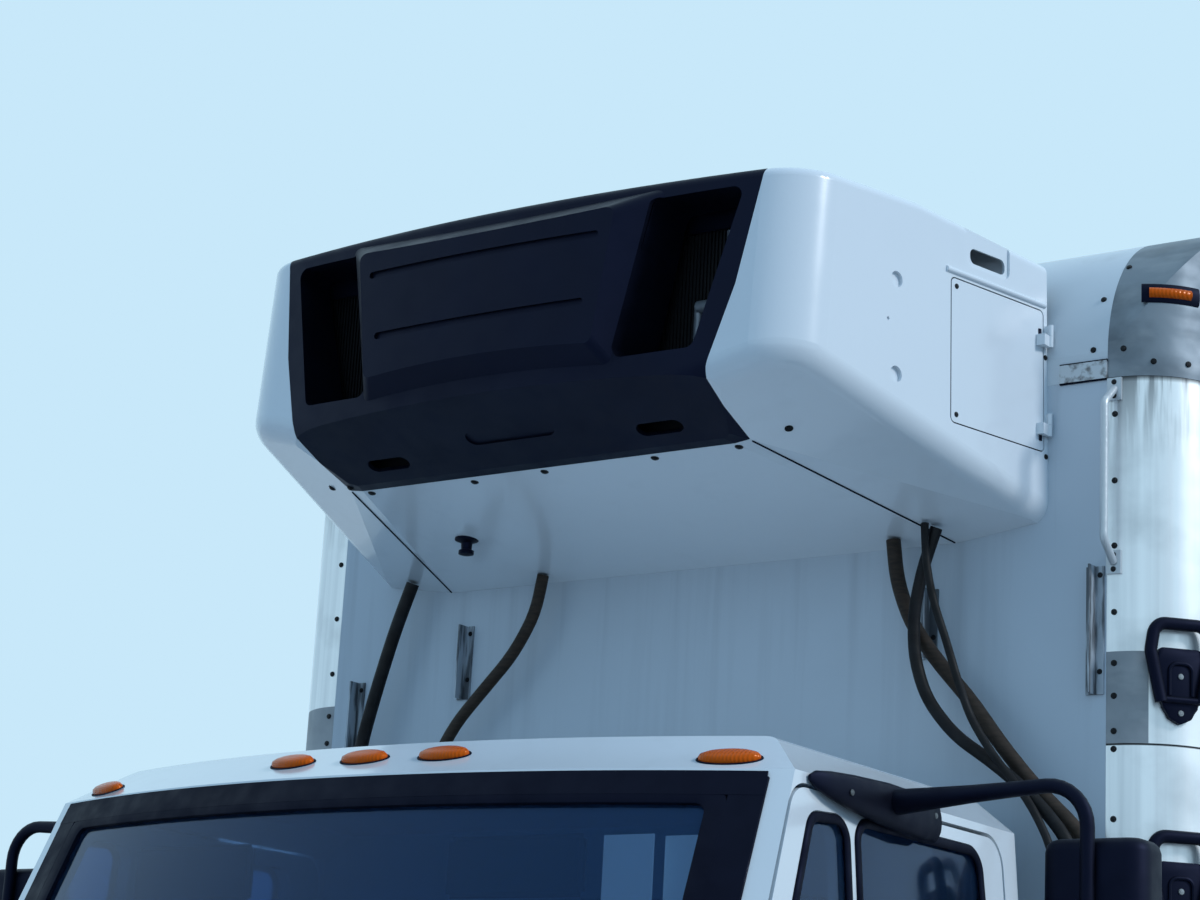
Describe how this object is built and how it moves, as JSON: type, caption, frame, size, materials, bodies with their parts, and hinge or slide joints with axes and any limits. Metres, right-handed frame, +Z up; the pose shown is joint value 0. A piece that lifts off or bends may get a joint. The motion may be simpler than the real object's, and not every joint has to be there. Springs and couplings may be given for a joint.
{
  "type": "refrigerated delivery truck",
  "caption": "Bonneted two-axle truck with an insulated box body, rear swing doors and a nose-mounted cooling unit above the cab.",
  "frame": {"origin": "on the ground, below the middle of the truck's length and width", "axes": "+Z up, -Y towards the front of the truck, +X towards its left side"},
  "size_m": [3.05, 9.9178, 3.81],
  "materials": {
    "amber_lens": "amber lens",
    "black_plastic": "black moulded plastic",
    "box_panel": "white glass-fibre panel",
    "bright_aluminium": "brushed aluminium",
    "bumper_paint": "grey bumper paint",
    "cab_paint": "gloss white cab paint",
    "cabin_plastic": "dark grey trim",
    "cast_metal": "cast and forged running gear",
    "chassis_paint": "satin black chassis paint",
    "clear_lens": "clear lens and bright reflector",
    "coil": "dark coil fins and brackets",
    "galvanised": "galvanised steel",
    "glass": "tinted safety glass",
    "red_lens": "red lens",
    "rubber": "black rubber",
    "seat_fabric": "grey seat cloth",
    "stainless": "stainless steel",
    "tyre": "black tyre rubber",
    "unit_grille": "black moulded plastic",
    "unit_shell": "white moulded glass-fibre",
    "weathered_aluminium": "weathered mill-finish aluminium",
    "wheel_paint": "white painted steel wheel"
  },
  "bodies": {
    "root": {"battery_box": "black_plastic", "box_corners": "weathered_aluminium", "box_floor": "galvanised", "box_front_wall": "box_panel", "box_roof": "box_panel", "box_sides": "box_panel", "cab_glass": "glass", "cab_shell": "cab_paint", "cab_steps": "bright_aluminium", "corner_steps": "cast_metal", "cross_members": "chassis_paint", "dashboard": "cabin_plastic", "drive_shaft": "chassis_paint", "engine": "cast_metal", "exhaust": "galvanised", "frame_rails": "chassis_paint", "front_axle": "cast_metal", "front_bumper": "bumper_paint", "fuel_tank": "bright_aluminium", "hoses": "rubber", "leaf_springs": "chassis_paint", "marker_lamps": "amber_lens", "mud_flaps": "rubber", "radiator": "coil", "rear_axle": "cast_metal", "rear_bumper": "chassis_paint", "rear_frame": "stainless", "seats": "seat_fabric", "steering_wheel": "cabin_plastic", "tail_lamps": "red_lens", "unit_bottom": "unit_shell", "unit_core": "coil", "unit_grille": "unit_grille", "unit_sides": "unit_shell", "unit_top": "unit_shell", "wall_fittings": "galvanised"},
    "knuckle_left": {"knuckle_left": "cast_metal"},
    "knuckle_right": {"knuckle_right": "cast_metal"},
    "front_wheel_left": {"front_rim_left": "wheel_paint", "front_tyre_left": "tyre"},
    "front_wheel_right": {"front_rim_right": "wheel_paint", "front_tyre_right": "tyre"},
    "rear_wheels_left": {"rear_rims_left": "wheel_paint", "rear_tyres_left": "tyre"},
    "rear_wheels_right": {"rear_rims_right": "wheel_paint", "rear_tyres_right": "tyre"},
    "door_left": {"door_left": "cab_paint", "door_glass_left": "glass", "mirror_left": "black_plastic"},
    "door_right": {"door_right": "cab_paint", "door_glass_right": "glass", "mirror_right": "black_plastic"},
    "hood": {"hood": "cab_paint", "grille": "black_plastic", "headlamps": "clear_lens"},
    "rear_door_left": {"rear_door_left": "box_panel"},
    "rear_door_right": {"rear_door_right": "box_panel"},
    "unit_door_left": {"unit_door_left": "unit_shell"},
    "unit_door_right": {"unit_door_right": "unit_shell"}
  },
  "joints": [
    {"name": "steer_left", "type": "hinge", "parent": "root", "child": "knuckle_left", "pos_m": [0.88, -4.029, 0.51], "axis": [0, 0, 1], "range_deg": [-34, 34]},
    {"name": "steer_right", "type": "hinge", "parent": "root", "child": "knuckle_right", "pos_m": [-0.88, -4.029, 0.51], "axis": [0, 0, 1], "range_deg": [-34, 34]},
    {"name": "front_spin_left", "type": "hinge", "parent": "knuckle_left", "child": "front_wheel_left", "pos_m": [1.005, -4.029, 0.51], "axis": [1, 0, 0], "continuous": true},
    {"name": "front_spin_right", "type": "hinge", "parent": "knuckle_right", "child": "front_wheel_right", "pos_m": [-1.005, -4.029, 0.51], "axis": [1, 0, 0], "continuous": true},
    {"name": "rear_spin_left", "type": "hinge", "parent": "root", "child": "rear_wheels_left", "pos_m": [0.93, 2.221, 0.51], "axis": [1, 0, 0], "continuous": true},
    {"name": "rear_spin_right", "type": "hinge", "parent": "root", "child": "rear_wheels_right", "pos_m": [-0.93, 2.221, 0.51], "axis": [1, 0, 0], "continuous": true},
    {"name": "door_left_swing", "type": "hinge", "parent": "root", "child": "door_left", "pos_m": [1.024, -3.385, 1.42], "axis": [0, 0, -1], "range_deg": [0, 68]},
    {"name": "door_right_swing", "type": "hinge", "parent": "root", "child": "door_right", "pos_m": [-1.024, -3.385, 1.42], "axis": [0, 0, 1], "range_deg": [0, 68]},
    {"name": "hood_tilt", "type": "hinge", "parent": "root", "child": "hood", "pos_m": [0, -4.839, 0.79], "axis": [1, 0, 0], "range_deg": [0, 62]},
    {"name": "rear_door_left_swing", "type": "hinge", "parent": "root", "child": "rear_door_left", "pos_m": [1.283, 4.937, 2.4], "axis": [0, 0, -1], "range_deg": [0, 215]},
    {"name": "rear_door_right_swing", "type": "hinge", "parent": "root", "child": "rear_door_right", "pos_m": [-1.283, 4.937, 2.4], "axis": [0, 0, 1], "range_deg": [0, 215]},
    {"name": "unit_door_left_swing", "type": "hinge", "parent": "root", "child": "unit_door_left", "pos_m": [0.964, -2.098, 3.4], "axis": [0, 0, 1], "range_deg": [0, 80]},
    {"name": "unit_door_right_swing", "type": "hinge", "parent": "root", "child": "unit_door_right", "pos_m": [-0.964, -2.098, 3.4], "axis": [0, 0, -1], "range_deg": [0, 80]}
  ],
  "couplings": [
    {"joint": "steer_right", "follows": "steer_left", "ratio": 1}
  ]
}
